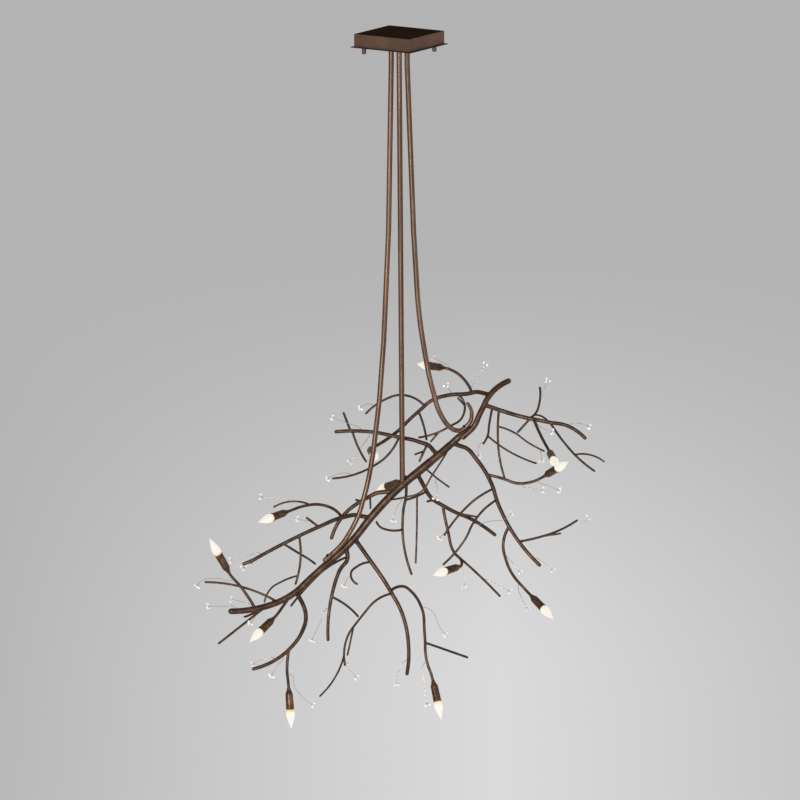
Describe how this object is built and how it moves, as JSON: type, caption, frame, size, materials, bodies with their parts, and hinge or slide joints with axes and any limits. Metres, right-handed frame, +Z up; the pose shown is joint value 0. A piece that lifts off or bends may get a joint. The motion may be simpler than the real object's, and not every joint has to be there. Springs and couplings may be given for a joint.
{
  "type": "branch chandelier",
  "caption": "Bent-rod metal branch hung level under a square canopy on three rods, with candle lamps in cups on bent arms and small glass bead sprays.",
  "frame": {"origin": "centre of the canopy's top face, on the ceiling plane", "axes": "+Z up, out of the ceiling face; +X to the viewer's right along the row of hanging rods; +Y away from the viewer"},
  "size_m": [1.605, 0.5157, 2.7344],
  "materials": {
    "bronze": "dark bronze paint, satin",
    "copper_brown": "brown bronze paint with a copper sheen",
    "steel": "zinc plated",
    "green": "green",
    "lead_jacket": "matte",
    "orange_plastic": "matte",
    "socket_plastic": "matte",
    "copper_wire": "bare, dull",
    "clear_glass": "cut and polished",
    "brass": "bright",
    "bulb_glass": "lightly frosted"
  },
  "bodies": {
    "fixture": {"canopy_box": "bronze", "carrier_bar": "steel", "stem_nuts": "steel", "stud_nuts": "steel", "fixture_leads": "lead_jacket", "ground_lead": "green", "wire_connectors": "orange_plastic", "ground_screw": "green", "stem_left": "copper_brown", "stem_centre": "copper_brown", "stem_right": "copper_brown", "stem_bolts": "steel", "trunk_lower": "bronze", "trunk_upper": "bronze", "limb_low_right": "bronze", "limb_low_middle": "bronze", "limb_low_left": "bronze", "limb_left": "bronze", "limb_left_inner": "bronze", "limb_high_left": "bronze", "limb_high_back": "bronze", "limb_high_right": "bronze", "limb_right": "bronze", "limb_middle_right": "bronze", "limb_centre": "bronze", "socket_cups": "bronze", "lamp_sockets": "socket_plastic", "crystal_wires": "copper_wire", "crystal_beads": "clear_glass"},
    "cover": {"canopy_cover": "bronze"},
    "thumb_left": {"thumb_screw_left": "copper_brown"},
    "thumb_right": {"thumb_screw_right": "copper_brown"},
    "bulb_01": {"bulb_base_01": "brass", "bulb_glass_01": "bulb_glass"},
    "bulb_02": {"bulb_base_02": "brass", "bulb_glass_02": "bulb_glass"},
    "bulb_03": {"bulb_base_03": "brass", "bulb_glass_03": "bulb_glass"},
    "bulb_04": {"bulb_base_04": "brass", "bulb_glass_04": "bulb_glass"},
    "bulb_05": {"bulb_base_05": "brass", "bulb_glass_05": "bulb_glass"},
    "bulb_06": {"bulb_base_06": "brass", "bulb_glass_06": "bulb_glass"},
    "bulb_07": {"bulb_base_07": "brass", "bulb_glass_07": "bulb_glass"},
    "bulb_08": {"bulb_base_08": "brass", "bulb_glass_08": "bulb_glass"},
    "bulb_09": {"bulb_base_09": "brass", "bulb_glass_09": "bulb_glass"},
    "bulb_10": {"bulb_base_10": "brass", "bulb_glass_10": "bulb_glass"},
    "bulb_11": {"bulb_base_11": "brass", "bulb_glass_11": "bulb_glass"},
    "bulb_12": {"bulb_base_12": "brass", "bulb_glass_12": "bulb_glass"}
  },
  "joints": [
    {"name": "cover_lower", "type": "slide", "parent": "fixture", "child": "cover", "axis": [0, 0, -1], "range_m": [0, 0.06]},
    {"name": "thumb_left_turn", "type": "hinge", "parent": "cover", "child": "thumb_left", "pos_m": [-0.13669, -0.0303, -0.0531], "axis": [0, 0, -1], "continuous": true},
    {"name": "thumb_right_turn", "type": "hinge", "parent": "cover", "child": "thumb_right", "pos_m": [0.13669, 0.0303, -0.0531], "axis": [0, 0, -1], "continuous": true},
    {"name": "bulb_01_unscrew", "type": "hinge", "parent": "fixture", "child": "bulb_01", "pos_m": [0.12144, 0.17661, -1.34825], "axis": [-0.6659, 0.7451, -0.0368], "range_deg": [0, 1080]},
    {"name": "bulb_02_unscrew", "type": "hinge", "parent": "fixture", "child": "bulb_02", "pos_m": [0.59884, -0.19764, -1.65011], "axis": [0.1827, -0.9592, -0.2158], "range_deg": [0, 1080]},
    {"name": "bulb_03_unscrew", "type": "hinge", "parent": "fixture", "child": "bulb_03", "pos_m": [0.61358, -0.13012, -1.70091], "axis": [0.5864, -0.6515, 0.4813], "range_deg": [0, 1080]},
    {"name": "bulb_04_unscrew", "type": "hinge", "parent": "fixture", "child": "bulb_04", "pos_m": [-0.04392, 0.12619, -1.81673], "axis": [-0.6124, 0.6999, -0.3677], "range_deg": [0, 1080]},
    {"name": "bulb_05_unscrew", "type": "hinge", "parent": "fixture", "child": "bulb_05", "pos_m": [-0.49259, -0.18145, -1.88319], "axis": [-0.7363, -0.6594, -0.1516], "range_deg": [0, 1080]},
    {"name": "bulb_06_unscrew", "type": "hinge", "parent": "fixture", "child": "bulb_06", "pos_m": [-0.70267, -0.03899, -2.06131], "axis": [-0.4862, -0.0486, 0.8725], "range_deg": [0, 1080]},
    {"name": "bulb_07_unscrew", "type": "hinge", "parent": "fixture", "child": "bulb_07", "pos_m": [-0.53791, -0.14087, -2.34026], "axis": [-0.6204, -0.5908, -0.5158], "range_deg": [0, 1080]},
    {"name": "bulb_08_unscrew", "type": "hinge", "parent": "fixture", "child": "bulb_08", "pos_m": [-0.42602, -0.1206, -2.65246], "axis": [0.0665, -0.1425, -0.9876], "range_deg": [0, 1080]},
    {"name": "bulb_09_unscrew", "type": "hinge", "parent": "fixture", "child": "bulb_09", "pos_m": [0.14883, -0.01439, -2.64132], "axis": [0.2127, -0.2774, -0.9369], "range_deg": [0, 1080]},
    {"name": "bulb_10_unscrew", "type": "hinge", "parent": "fixture", "child": "bulb_10", "pos_m": [0.18327, -0.06654, -2.11722], "axis": [-0.6731, -0.7343, -0.088], "range_deg": [0, 1080]},
    {"name": "bulb_11_unscrew", "type": "hinge", "parent": "fixture", "child": "bulb_11", "pos_m": [0.55882, -0.15041, -2.24784], "axis": [0.5698, -0.6614, -0.4878], "range_deg": [0, 1080]},
    {"name": "bulb_12_unscrew", "type": "hinge", "parent": "fixture", "child": "bulb_12", "pos_m": [-0.10205, 0.06197, -1.6787], "axis": [0.1722, -0.9804, -0.0962], "range_deg": [0, 1080]}
  ]
}
